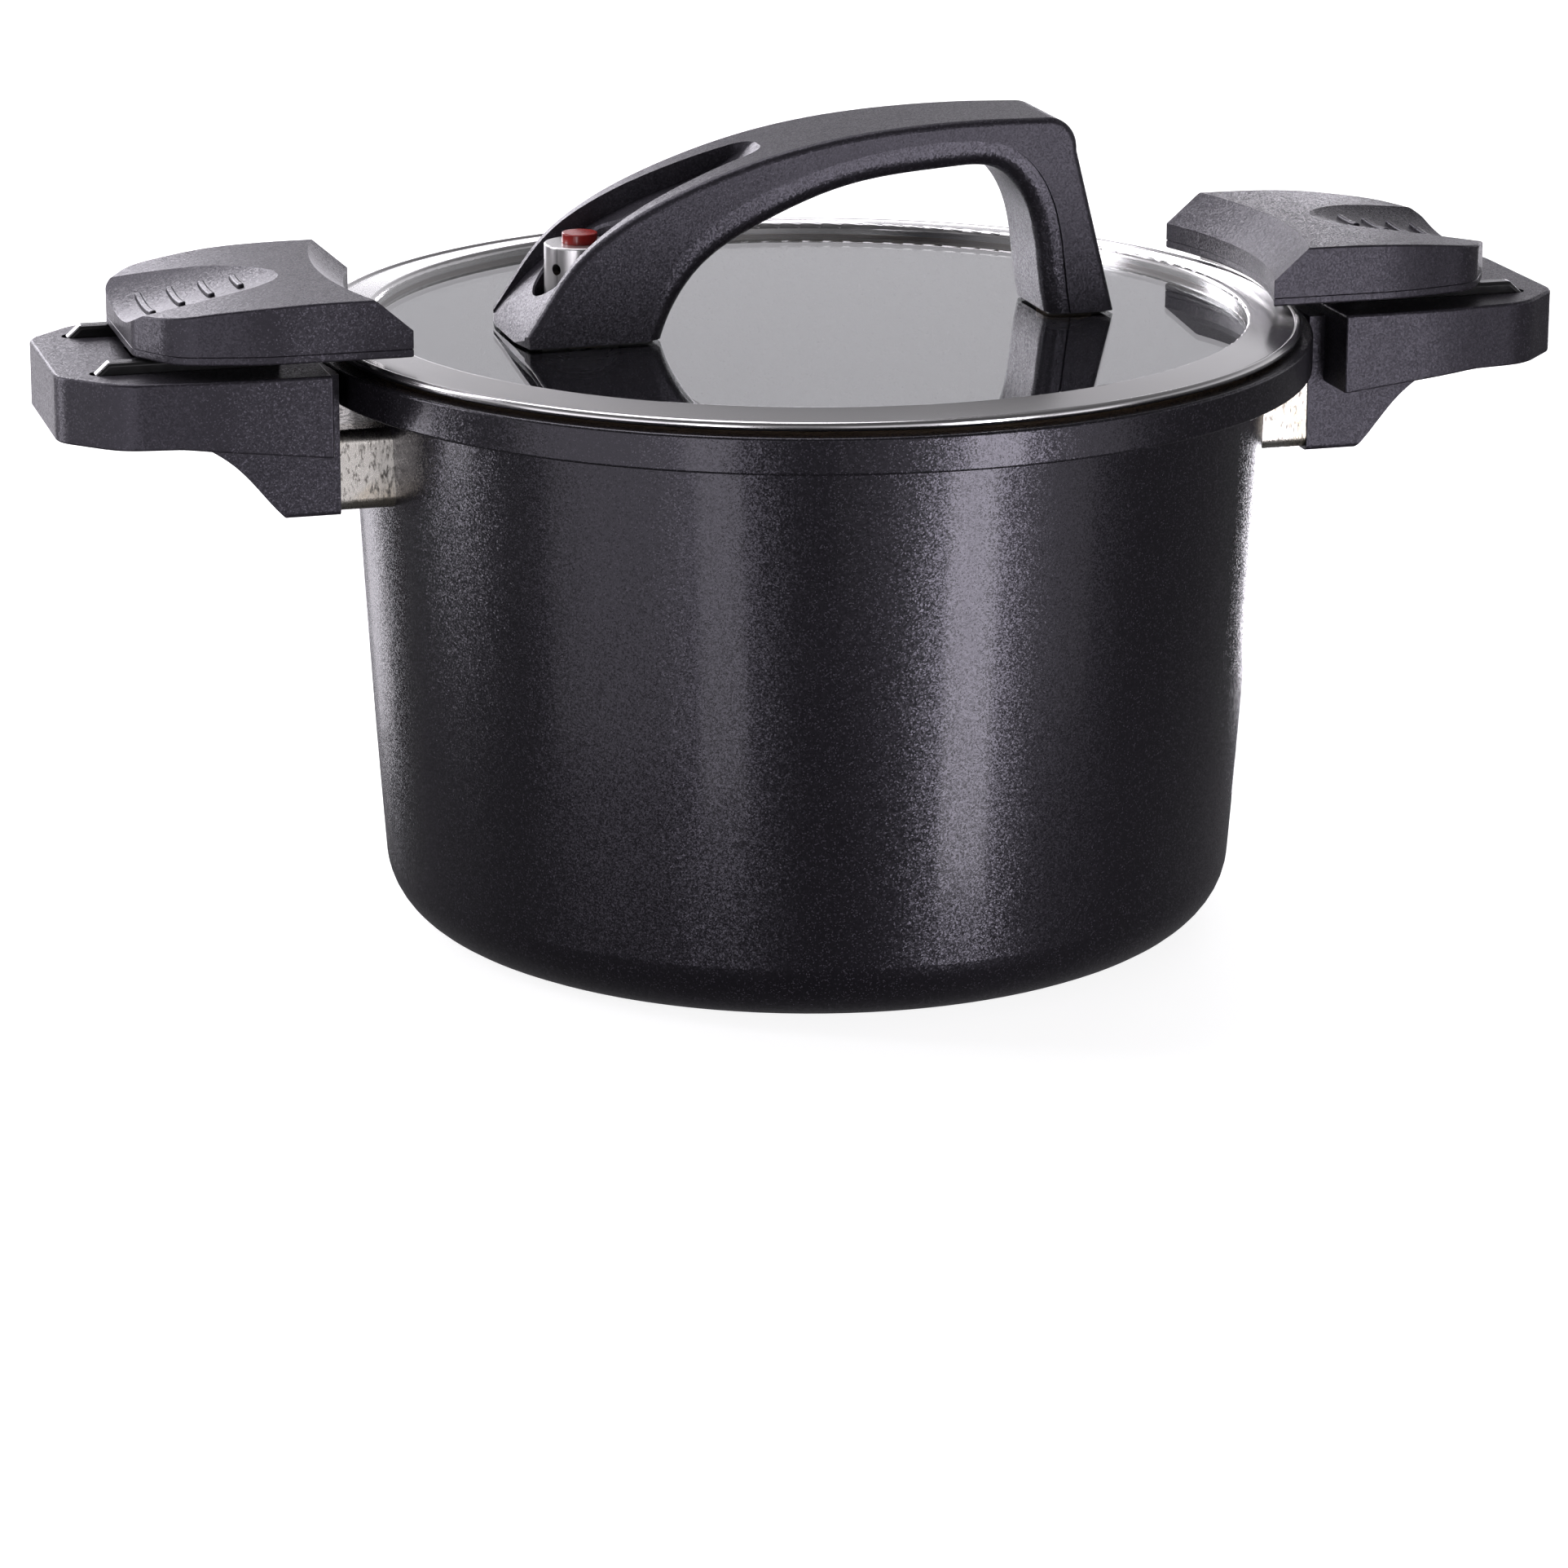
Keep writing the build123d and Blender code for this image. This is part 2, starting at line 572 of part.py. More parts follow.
def lid_seal():
    """Silicone channel seal round the edge of the glass."""
    inner = RING_APEX_RADIUS + 0.6
    section = outline(
        [(inner, GLASS_TOP), (inner, RING_APEX_Z - 1.3), (119.4, RIM_Z + 2.0),
         (119.8, SEAT_Z + 0.3), (inner + 0.8, SEAT_Z + 0.15), (inner + 0.8, GLASS_BOTTOM),
         (GLASS_RADIUS, GLASS_BOTTOM), (GLASS_RADIUS, GLASS_TOP)],
        [0, 0.4, 0.8, 1.0, 0.8, 0, 0, 0],
    )
    return lathe(section)


def lid_glass():
    """Flat tempered glass with the valve hole and the hole of the rear foot screw."""
    glass = upright(Circle(GLASS_RADIUS), GLASS_BOTTOM, GLASS_TOP)
    glass -= rod(VALVE_X, 0, GLASS_BOTTOM - 1, GLASS_TOP + 1, STEM_RADIUS + 0.5)
    return glass - rod(REAR_SCREW_X, 0, GLASS_BOTTOM - 1, GLASS_TOP + 1, 3.0)


# ---------------------------------------------------------------- lid handle
def handle_crest():
    """Upper edge of the handle in side view, from the valve foot to the rear foot."""
    front = (HANDLE_FRONT_X, FOOT_Z)
    knee = (46.0, HANDLE_TOP)
    shoulder = (58.6, HANDLE_TOP - 0.3)
    elbow = (66.2, RIM_Z + 43.6)
    rear = (HANDLE_REAR_X, FOOT_Z)
    return [
        Spline(front, (-72.8, RIM_Z + 11.5), (-65.2, RIM_Z + 21.8), (-54.0, RIM_Z + 30.6),
               (-35.2, RIM_Z + 39.6), (-10.7, RIM_Z + 47.2), (20.0, RIM_Z + 51.6), knee),
        Line(knee, shoulder),
        TangentArc(shoulder, elbow, tangent=(1, -0.04)),
        Line(elbow, rear),
    ]


def parting_points():
    """Line in side view where the shell ends and the inner strip begins."""
    return [
        (-46.3, FOOT_Z), (-44.6, RIM_Z + 11.0), (-36.5, RIM_Z + 24.6), (-17.2, RIM_Z + 37.1),
        (7.2, RIM_Z + 44.5), (36.0, RIM_Z + 47.4), (48.5, RIM_Z + 45.0), (57.4, RIM_Z + 36.3),
        (62.8, RIM_Z + 18.0), (65.0, FOOT_Z),
    ]


def strip_points():
    """Inner edge of the handle's inner strip in side view."""
    return [
        (-42.6, FOOT_Z), (-40.2, RIM_Z + 8.0), (-32.2, RIM_Z + 19.2), (-16.0, RIM_Z + 29.2),
        (6.0, RIM_Z + 37.2), (34.0, RIM_Z + 40.4), (45.5, RIM_Z + 39.4), (52.6, RIM_Z + 32.2),
        (56.8, RIM_Z + 17.0), (59.1, FOOT_Z),
    ]


def handle_taper(inset):
    """Plan outline that narrows from the valve foot to the rear foot."""
    front = HANDLE_FRONT_HALF - inset
    rear = HANDLE_REAR_HALF - inset
    sides = Polyline((HANDLE_CORNER_X, front), (HANDLE_REAR_X + 1, rear),
                     (HANDLE_REAR_X + 1, -rear), (HANDLE_CORNER_X, -front))
    bulge = ThreePointArc((HANDLE_CORNER_X, -front), (HANDLE_FRONT_X, 0), (HANDLE_CORNER_X, front))
    return upright(make_face([sides, bulge]), RIM_Z, HANDLE_TOP + 10)


def channel_cut():
    """Trough along the top of the valve leg; its floor rises to the crest at the end."""
    floor_start = (HANDLE_FRONT_X - 1.6, RIM_Z - 2.0)
    floor_end = (-12.0, RIM_Z + 48.5)
    edges = [
        Spline(floor_start, (-77.0, RIM_Z + 4.4), (-71.4, RIM_Z + 11.0), (-64.0, RIM_Z + 18.0),
               (-52.0, RIM_Z + 26.0), (-38.0, RIM_Z + 33.0), (-24.0, RIM_Z + 38.6), floor_end),
        Line(floor_end, (-12.0, RIM_Z + 60)),
        Line((-12.0, RIM_Z + 60), (floor_start[0], RIM_Z + 60)),
        Line((floor_start[0], RIM_Z + 60), floor_start),
    ]
    half = [(-84.0, 17.4), (-60.0, 15.6), (-44.0, 12.6), (-13.5, 7.0)]
    plan = outline(mirrored(half), [0, 30, 40, 6.5, 6.5, 40, 30, 0])
    return across(make_face(edges), 30) & upright(plan, RIM_Z - 5, RIM_Z + 65)


def lid_handle():
    """Arched handle shell with the channel, the valve well and the screw hole."""
    crest = handle_crest()
    parting = Spline(*parting_points())
    closing = [Line(crest[-1] @ 1, parting @ 1), Line(parting @ 0, crest[0] @ 0)]
    body = across(make_face(crest + closing + [parting]), 25) & handle_taper(0)
    body = fillet(crest_rim(body), 1.6)
    body -= channel_cut()
    body -= rod(VALVE_X, 0, FLANGE_BOTTOM, HANDLE_TOP, WELL_RADIUS)
    body = chamfer(well_rim(body), 0.7)
    body -= rod(VALVE_X, 0, RIM_Z - 5, FOOT_Z + 5, STEM_RADIUS + 0.2)
    return body - rod(REAR_SCREW_X, 0, FOOT_Z - 1, FOOT_Z + 15, 2.1)


def well_rim(body):
    """Edges where the valve well opens into the floor and walls of the channel."""
    rim = []
    for edge in body.edges():
        middle = edge @ 0.5
        off_axis = math.hypot(middle.X - VALVE_X, middle.Y)
        if abs(off_axis - WELL_RADIUS) < 0.01 and middle.Z > FOOT_Z + 3 and edge.length > 4:
            rim.append(edge)
    return rim


def crest_rim(body):
    """The long edges between the top of the handle and its two side faces."""
    rim = []
    for edge in body.edges():
        centre = edge.center()
        long_edge = edge.length > 8
        on_crest = centre.Z > RIM_Z + 20 and abs(centre.Y) > 12
        above_parting = not near_parting(edge)
        if long_edge and on_crest and above_parting:
            rim.append(edge)
    return rim


def near_parting(edge):
    parting = Spline(*parting_points())
    centre = edge @ 0.5
    return parting.distance_to(Vertex(centre.X, centre.Z, 0)) < 1.0


def handle_underside():
    """Rounded strip along the inside of the arch."""
    outer = Spline(*parting_points())
    inner = Spline(*strip_points())
    closing = [Line(outer @ 1, inner @ 1), Line(inner @ 0, outer @ 0)]
    strip = across(make_face([outer, inner] + closing), 25) & handle_taper(0.8)
    long_edges = []
    for edge in strip.edges():
        middle = edge @ 0.5
        if edge.length > 60 and inner.distance_to(Vertex(middle.X, middle.Z, 0)) < 1.0:
            long_edges.append(edge)
    return fillet(long_edges, 4.0)


def foot_pad(low_x, high_x, half, hole_x, hole_radius):
    pad = Pos((low_x + high_x) / 2, 0) * RectangleRounded(high_x - low_x, 2 * half, 2)
    return upright(pad, GLASS_TOP, FOOT_Z) - rod(hole_x, 0, GLASS_TOP - 1, FOOT_Z + 1, hole_radius)


def front_foot_gasket():
    return foot_pad(-76.0, -45.0, 18.0, VALVE_X, STEM_RADIUS + 0.2)


def rear_foot_gasket():
    return foot_pad(60.2, 75.8, 12.5, REAR_SCREW_X, 3.0)


def rear_foot_washers():
    """Silicone washer against the underside of the glass."""
    washer = rod(REAR_SCREW_X, 0, GLASS_BOTTOM - WASHER, GLASS_BOTTOM, 7.0)
    return washer - rod(REAR_SCREW_X, 0, GLASS_BOTTOM - 5, GLASS_BOTTOM + 1, 2.6)


def rear_foot_screw():
    head_top = GLASS_BOTTOM - WASHER
    screw = rod(REAR_SCREW_X, 0, head_top - 3.0, head_top, 4.6)
    screw += rod(REAR_SCREW_X, 0, head_top, FOOT_Z + 14, 2.05)
    return screw - block((REAR_SCREW_X - 5, REAR_SCREW_X + 5), (-0.6, 0.6),
                         (head_top - 4, head_top - 1.6))


# ---------------------------------------------------------------- steam valve
def valve_stem():
    """Threaded stem through the glass, with the seat and a flange on the handle foot."""
    stem = rod(VALVE_X, 0, GLASS_BOTTOM - 8.5, FLANGE_BOTTOM, STEM_RADIUS)
    stem += rod(VALVE_X, 0, FLANGE_BOTTOM, CAP_BOTTOM, CAP_RADIUS)
    stem += rod(VALVE_X, 0, CAP_BOTTOM, CAP_BOTTOM + 3, STEM_RADIUS + 0.8)
    stem -= rod(VALVE_X, 0, GLASS_BOTTOM - 9, GLASS_BOTTOM + 1.0, 4.2)
    return stem - rod(VALVE_X, 0, GLASS_BOTTOM, CAP_BOTTOM + 4, 2.6)


def valve_cap():
    """Steel cylinder with the side hole for the steam; the button comes out on top."""
    cap = rod(VALVE_X, 0, CAP_BOTTOM, CAP_TOP, CAP_RADIUS)
    cap = fillet(cap.edges().group_by(Axis.Z)[-1], 0.5)
    cap -= rod(VALVE_X, 0, CAP_BOTTOM - 1, CAP_TOP - CAP_ROOF, STEM_RADIUS + 0.8)
    cap -= rod(VALVE_X, 0, CAP_BOTTOM, CAP_TOP + 1, BUTTON_RADIUS + FIT)
    hole = Pos(VALVE_X, 0, RIM_Z + 18.3) * Rot(0, 0, 180 + 35) * Rot(0, 90, 0)
    return cap - hole * Pos(0, 0, 6) * Cylinder(1.4, 12)


def valve_nut():
    low = GLASS_BOTTOM - 6.5
    plan = Pos(VALVE_X, 0) * RegularPolygon(9.8, 6)
    nut = upright(plan, low, GLASS_BOTTOM - VALVE_GASKET)
    return nut - rod(VALVE_X, 0, low - 1, GLASS_BOTTOM, STEM_RADIUS)


def valve_gasket():
    ring = rod(VALVE_X, 0, GLASS_BOTTOM - VALVE_GASKET, GLASS_BOTTOM, 9.5)
    return ring - rod(VALVE_X, 0, GLASS_BOTTOM - 3, GLASS_BOTTOM + 1, STEM_RADIUS)


def release_button():
    """Button with a collar that keeps it in the cap and a socket for the poppet rod."""
    button = rod(VALVE_X, 0, COLLAR_BOTTOM, BUTTON_TOP, BUTTON_RADIUS)
    button = fillet(button.edges().group_by(Axis.Z)[-1], 0.4)
    button += rod(VALVE_X, 0, COLLAR_BOTTOM, COLLAR_BOTTOM + COLLAR, 6.2)
    return button - rod(VALVE_X, 0, COLLAR_BOTTOM - 1, COLLAR_BOTTOM + 4, POPPET_RADIUS)


def valve_poppet():
    """Rod with the closing head that lifts against the seat from below."""
    poppet = rod(VALVE_X, 0, GLASS_BOTTOM - 2.0, COLLAR_BOTTOM + 4, POPPET_RADIUS)
    poppet += rod(VALVE_X, 0, GLASS_BOTTOM - 2.0, GLASS_BOTTOM - 0.6, 3.6)
    return poppet + rod(VALVE_X, 0, GLASS_BOTTOM - 3.4, GLASS_BOTTOM - 2.0, 3.0)


def poppet_ring():
    """Silicone ring on the poppet head."""
    ring = rod(VALVE_X, 0, GLASS_BOTTOM - 0.6, GLASS_BOTTOM + 0.8, 3.6)
    return ring - rod(VALVE_X, 0, GLASS_BOTTOM - 1, GLASS_BOTTOM + 1, POPPET_RADIUS)


def valve_spring():
    low = CAP_BOTTOM + 3.05
    high = COLLAR_BOTTOM - 0.05
    return coil(VALVE_X, 0, low, high, 3.9, 0.4, 5)


# ---------------------------------------------------------------- all pieces
def side_parts():
    """Pieces of one grip and its latch, in their right-hand place."""
    return {
        "ferrule": ferrule(),
        "handle_screw": handle_screw(),
        "grip_core": grip_core(),
        "grip_shell": grip_shell(),
        "grip_screws": grip_screws(),
        "guide_plate": guide_plate(),
        "latch_cover": latch_cover(),
        "latch_base": latch_base(),
        "latch_jaw": latch_jaw(),
        "jaw_rivets": jaw_rivets(),
        "latch_screws": latch_screws(),
        "latch_keeper": latch_keeper(),
        "keeper_screw": keeper_screw(),
        "detent_ball": detent_ball(),
        "detent_spring": detent_spring(),
    }


def all_parts():
    parts = {
        "pot_body": pot_body(),
        "induction_disc": induction_disc(),
        "lid_glass": lid_glass(),
        "lid_ring": lid_ring(),
        "lid_seal": lid_seal(),
        "lid_handle": lid_handle(),
        "handle_underside": handle_underside(),
        "front_foot_gasket": front_foot_gasket(),
        "rear_foot_gasket": rear_foot_gasket(),
        "rear_foot_washers": rear_foot_washers(),
        "rear_foot_screw": rear_foot_screw(),
        "valve_stem": valve_stem(),
        "valve_cap": valve_cap(),
        "valve_nut": valve_nut(),
        "valve_gasket": valve_gasket(),
        "release_button": release_button(),
        "valve_poppet": valve_poppet(),
        "poppet_ring": poppet_ring(),
        "valve_spring": valve_spring(),
    }
    for name, shape in side_parts().items():
        parts["right_" + name] = shape
        parts["left_" + name] = Rot(0, 0, 180) * shape
    return parts


os.makedirs("parts", exist_ok=True)
for node, shape in all_parts().items():
    export_step(shape, f"parts/{node}.step")
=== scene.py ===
"""Looks of a stovetop pressure cooker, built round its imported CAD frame.

Metres, in the frame of the CAD: the base stands on z = 0, the pot's axis is the z axis,
the side grips lie along x and the valve end of the lid handle points to -x.
"""

import json
import math

import bpy
from mathutils import Matrix, Vector


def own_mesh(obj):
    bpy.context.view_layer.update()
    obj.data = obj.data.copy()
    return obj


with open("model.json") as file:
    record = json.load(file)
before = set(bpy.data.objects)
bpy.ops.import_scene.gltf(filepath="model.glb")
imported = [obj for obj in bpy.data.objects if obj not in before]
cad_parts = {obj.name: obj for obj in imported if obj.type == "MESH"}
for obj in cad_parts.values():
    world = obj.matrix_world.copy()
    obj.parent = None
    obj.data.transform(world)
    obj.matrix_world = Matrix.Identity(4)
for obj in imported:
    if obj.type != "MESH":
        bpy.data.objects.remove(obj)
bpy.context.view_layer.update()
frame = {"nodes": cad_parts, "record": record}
NODES = frame["nodes"]

# ---------------------------------------------------------------- sizes and tones
CAMERA_PLACE = Vector((-0.372, -1.260, 0.4326))
CAMERA_HEADING = math.radians(16.45)   # turned from +y towards +x
CAMERA_PITCH = math.radians(14.59)     # looking down
CAMERA_ROLL = math.radians(0.20)
CAMERA_REACH = 20.0                    # farthest that it sees
SENSOR_WIDTH = 36.0
LENS = 122.0
SHIFT = (-0.0153, -0.1466)

FLOOR_RADIUS = 9.0
FLOOR_DROP = 0.0002          # gap under the base, so that the two don't share a plane
FLOOR_GLOW = 0.85

PLAIN = (1.0, 1.0, 1.0)
COOL = (1.0, 0.92, 1.12)             # slight violet of the coating and the plastics
SHEEN = (0.90, 0.87, 1.0)            # the same in their reflections
WARM_STEEL = (1.0, 0.985, 0.96)
LAMP_TONE = (1.0, 0.965, 1.04)
SKY_TONE = (0.985, 0.965, 1.02, 1.0)

MOST_NOISE = (0.3, 0.7)      # a noise stays in this range nearly everywhere

# Lamps that face the pot's axis. In each row, left to right:
# - angle round the pot, in degrees from the camera's side, + to the camera's right
# - distance from the axis, own height, and height of the point on the axis that it faces
# - width and length of the lamp, and its power in watts
LAMPS = {
    # in front and at the sides
    "strip_right": (38, 0.62, 0.00, 0.08, 0.13, 0.40, 2.2),
    "tail_right": (62, 0.80, 0.00, 0.08, 0.25, 0.40, 0.35),
    "fill_front": (22, 0.90, 0.05, 0.10, 0.50, 0.50, 0.5),
    "strip_left": (-20, 0.75, 0.00, 0.08, 0.14, 0.45, 1.0),
    "wide_left": (-46, 0.80, 0.00, 0.08, 0.50, 0.45, 1.1),
    "side_left": (-92, 0.75, 0.30, 0.15, 0.15, 0.80, 3.5),
    # behind and low
    "edge_left": (-145, 1.30, -0.05, 0.10, 0.40, 0.60, 1.6),
    "edge_right": (158, 1.30, -0.05, 0.10, 0.30, 0.50, 3.0),
    "back_strip": (166, 0.70, 0.02, 0.08, 0.10, 0.40, 1.6),
    "back_wide": (-172, 0.90, 0.02, 0.08, 0.30, 0.40, 1.2),
    # behind and high
    "glow_left": (-150, 1.20, 0.55, 0.16, 0.45, 0.50, 5.5),
    "top": (-140, 0.55, 1.50, 0.10, 1.00, 1.00, 12.0),
}
BACKDROP_DISTANCE = 2.2
BACKDROP_HEIGHT = 1.6
BACKDROP_SIZE = (3.0, 1.6)
BACKDROP_POWER = 55.0


def grey(value, tint=PLAIN):
    """Colour of one brightness, with a tint."""
    return (value * tint[0], value * tint[1], value * tint[2], 1.0)


# ---------------------------------------------------------------- node helpers
class Tree:
    """Builds a node tree with few words."""

    def __init__(self, tree):
        self.tree = tree

    def add(self, kind, settings=None, **sockets):
        """New node; settings are its own properties, sockets its input values or links."""
        node = self.tree.nodes.new(kind)
        for key, value in (settings or {}).items():
            setattr(node, key, value)
        for key, value in sockets.items():
            self.put(node, key.replace("_", " "), value)
        return node

    def put(self, node, socket, value):
        """Give an input a value, or link it to an output."""
        if isinstance(value, bpy.types.NodeSocket):
            self.tree.links.new(value, node.inputs[socket])
        else:
            node.inputs[socket].default_value = value

    def calculate(self, kind, operation, *values):
        """Result of a Math or VectorMath node."""
        node = self.add("ShaderNode" + kind, {"operation": operation})
        for index, value in enumerate(values):
            self.put(node, index, value)
        return node.outputs[0]

    def ramp(self, value, given, wanted=(0.0, 1.0)):
        """Number that goes through the wanted range as value goes through the given one."""
        node = self.add("ShaderNodeMapRange", Value=value, From_Min=given[0], From_Max=given[1],
                        To_Min=wanted[0], To_Max=wanted[1])
        return node.outputs["Result"]


class Shader(Tree):
    """The node tree of one new material. All scales are in repeats per metre."""

    def __init__(self, name):
        self.material = bpy.data.materials.new(name)
        self.material.use_nodes = True
        super().__init__(self.material.node_tree)
        self.principled = self.tree.nodes["Principled BSDF"]
        # object coordinates in metres, which ride with the piece
        self.place = self.add("ShaderNodeTexCoord").outputs["Object"]

    def set(self, socket, value):
        """Value or link of one input of the surface itself."""
        self.put(self.principled, socket, value)

    def set_roughness(self, scale, low, high):
        """Roughness that drifts between two values."""
        self.set("Roughness", self.ramp(self.noise(scale), MOST_NOISE, (low, high)))

    def noise(self, scale, detail=2.0, roughness=0.5, vector=None):
        """Soft random number; detail is how many finer layers it has."""
        node = self.add("ShaderNodeTexNoise", Vector=vector or self.place, Scale=scale,
                        Detail=detail, Roughness=roughness)
        return node.outputs["Fac"]

    def cells(self, scale):
        """Random colour for each small cell."""
        return self.add("ShaderNodeTexVoronoi", Vector=self.place, Scale=scale).outputs["Color"]

    def stretched(self, scales):
        """Coordinates scaled unevenly along x, y and z, for brushed or turned marks."""
        return self.add("ShaderNodeMapping", Vector=self.place, Scale=scales).outputs["Vector"]

    def mix(self, factor, first, second):
        """Colour between two colours."""
        node = self.add("ShaderNodeMix", {"data_type": "RGBA"})
        self.put(node, 0, factor)
        self.put(node, 6, first)
        self.put(node, 7, second)
        return node.outputs[2]

    def bump(self, height, strength, distance):
        """Normal bent by a height from 0 to 1; distance is that height in metres."""
        node = self.add("ShaderNodeBump", Height=height, Strength=strength, Distance=distance)
        return node.outputs["Normal"]


# ---------------------------------------------------------------- materials
def flake_coating(name, shade, roughness, shine, coat, flake_size, tilt, painted_glint, grain):
    """Dark surface full of fine flakes, each turned its own way so that some catch the light.

    tilt is how far the flakes turn, glint the painted base-colour brightness of the brightest
    ones (painted glints), and grain the size of the fine bumps between them.
    """
    shader = Shader(name)
    flakes = shader.cells(1.0 / flake_size)
    # each flake's own random number; only the highest ones get a painted glint, a lighter base
    # colour
    chance = shader.add("ShaderNodeSeparateColor", Color=flakes).outputs[0]
    painted_sparkle_mask = shader.ramp(chance, (0.85, 1.0))
    # wide, faint clouds in the dark ground between them
    cloud = shader.ramp(shader.noise(9.0, 3.0), MOST_NOISE)
    dull = shader.mix(cloud, grey(shade * 0.85, COOL), grey(shade * 1.15, COOL))
    # painted glints: the chosen flakes get a lighter base colour than the dark ground
    shader.set("Base Color", shader.mix(painted_sparkle_mask, dull, grey(painted_glint, COOL)))
    shader.set_roughness(60.0, roughness - 0.01, roughness + 0.01)
    shader.set("Specular IOR Level", shine)
    shader.set("Specular Tint", grey(1.0, SHEEN))
    shader.set("Coat Weight", coat)
    shader.set("Coat Roughness", 0.12)
    # the flakes' random colours, centred on zero, turn the bumpy surface's normal
    surface = shader.bump(shader.noise(1.0 / grain), 0.2, grain * 0.25)
    centred = shader.calculate("VectorMath", "SUBTRACT", flakes, (0.5, 0.5, 0.5))
    spread = (2 * tilt, 2 * tilt, 2 * tilt)
    turned = shader.calculate("VectorMath", "MULTIPLY_ADD", centred, spread, surface)
    shader.set("Normal", shader.calculate("VectorMath", "NORMALIZE", turned))
    return shader.material


def flaked_plastic(name, shade, roughness, shine):
    """Moulded plastic with flakes, without a clear coat."""
    # the brightest flakes carry painted glints, lighter in base colour
    return flake_coating(name, shade, roughness, shine, coat=0.0,
                         flake_size=0.00032, tilt=0.11, painted_glint=0.052, grain=0.0009)


def pot_coating():
    # the brightest flakes carry painted glints, lighter in base colour
    return flake_coating("pot_coating", shade=0.006, roughness=0.25, shine=0.35, coat=0.12,
                         flake_size=0.00030, tilt=0.09, painted_glint=0.030, grain=0.0007)


def handle_plastic():
    return flaked_plastic("handle_plastic", shade=0.014, roughness=0.40, shine=0.4)


def strip_plastic():
    return flaked_plastic("strip_plastic", shade=0.012, roughness=0.34, shine=0.5)


def plain_black(name, scale, low, high):
    """Black without flakes; low and high are the limits of its roughness."""
    shader = Shader(name)
    shader.set("Base Color", grey(0.012))
    shader.set_roughness(scale, low, high)
    return shader.material


def rail_plastic():
    return plain_black("rail_plastic", 400.0, 0.16, 0.26)


def foot_rubber():
    return plain_black("foot_rubber", 600.0, 0.5, 0.6)


def brushed_steel(name, shade, roughness, marks, depth=0.05):
    """Steel with fine marks; marks says how often they change along x, y and z."""
    shader = Shader(name)
    lines = shader.noise(1.0, vector=shader.stretched(marks))
    shader.set("Base Color", shader.mix(lines, grey(shade * 0.92), grey(shade, WARM_STEEL)))
    shader.set("Metallic", 1.0)
    shader.set("Roughness", shader.ramp(lines, MOST_NOISE, (roughness * 0.85, roughness * 1.15)))
    shader.set("Normal", shader.bump(lines, depth, 0.0001))
    return shader.material


def ring_steel():
    return brushed_steel("ring_steel", 0.62, 0.20, marks=(30.0, 30.0, 900.0), depth=0.01)


def valve_steel():
    return brushed_steel("valve_steel", 0.66, 0.32, marks=(2500.0, 2500.0, 60.0))


def base_steel():
    return brushed_steel("base_steel", 0.55, 0.35, marks=(400.0, 400.0, 20.0))


def fastener_steel():
    return brushed_steel("fastener_steel", 0.6, 0.3, marks=(300.0, 300.0, 2500.0))


def ferrule_steel():
    """Polished sleeve with short dark scratches and a warm stain."""
    shader = Shader("ferrule_steel")
    scratches = shader.noise(1.0, 6.0, 0.75, vector=shader.stretched((900.0, 900.0, 300.0)))
    stain = shader.ramp(shader.noise(70.0, 3.0), (0.5, 0.75))
    clean = shader.mix(stain, grey(0.62, (1.0, 0.97, 0.88)), grey(0.52, (1.0, 0.85, 0.60)))
    worn = shader.ramp(scratches, (0.50, 0.60))
    shader.set("Base Color", shader.mix(worn, clean, grey(0.16, (1.0, 0.94, 0.84))))
    shader.set("Metallic", 1.0)
    shader.set("Roughness", shader.ramp(scratches, (0.45, 0.65), (0.22, 0.45)))
    shader.set("Normal", shader.bump(scratches, 0.10, 0.0002))
    return shader.material


def silicone():
    shader = Shader("silicone")
    dark, pale = (0.22, 0.15, 0.09, 1.0), (0.30, 0.21, 0.13, 1.0)
    shader.set("Base Color", shader.mix(shader.noise(120.0), dark, pale))
    shader.set_roughness(600.0, 0.42, 0.55)
    return shader.material


def red_plastic():
    """Dark red, slightly translucent push button."""
    shader = Shader("red_plastic")
    dark, pale = (0.20, 0.010, 0.008, 1.0), (0.32, 0.020, 0.015, 1.0)
    shader.set("Base Color", shader.mix(shader.noise(300.0), dark, pale))
    shader.set_roughness(900.0, 0.16, 0.24)
    shader.set("Subsurface Weight", 0.2)
    shader.set("Subsurface Scale", 0.002)
    return shader.material


def lid_glass():
    """Clear glass plate."""
    shader = Shader("lid_glass")
    shader.set("Base Color", grey(0.93, (0.97, 1.0, 0.99)))
    shader.set("Transmission Weight", 1.0)
    shader.set("IOR", 1.5)
    shader.set_roughness(40.0, 0.0, 0.01)
    return shader.material


# each is named after the record's slot that it fills
MAKERS = (
    pot_coating, base_steel, ring_steel, ferrule_steel, valve_steel, fastener_steel,
    handle_plastic, strip_plastic, rail_plastic, red_plastic, silicone, foot_rubber, lid_glass,
)


def dress_nodes():
    """Give every CAD node the material that the record's slot names."""
    materials = {make.__name__: make() for make in MAKERS}
    for entry in frame["record"]["subparts"]:
        node = NODES[entry["node"]]
        node.data.materials.clear()
        node.data.materials.append(materials[entry["material_slot"]])


def let_spring_shorten():
    """Gives the valve spring a mesh of its own, not shared with other objects."""
    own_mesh(NODES["valve_spring"])


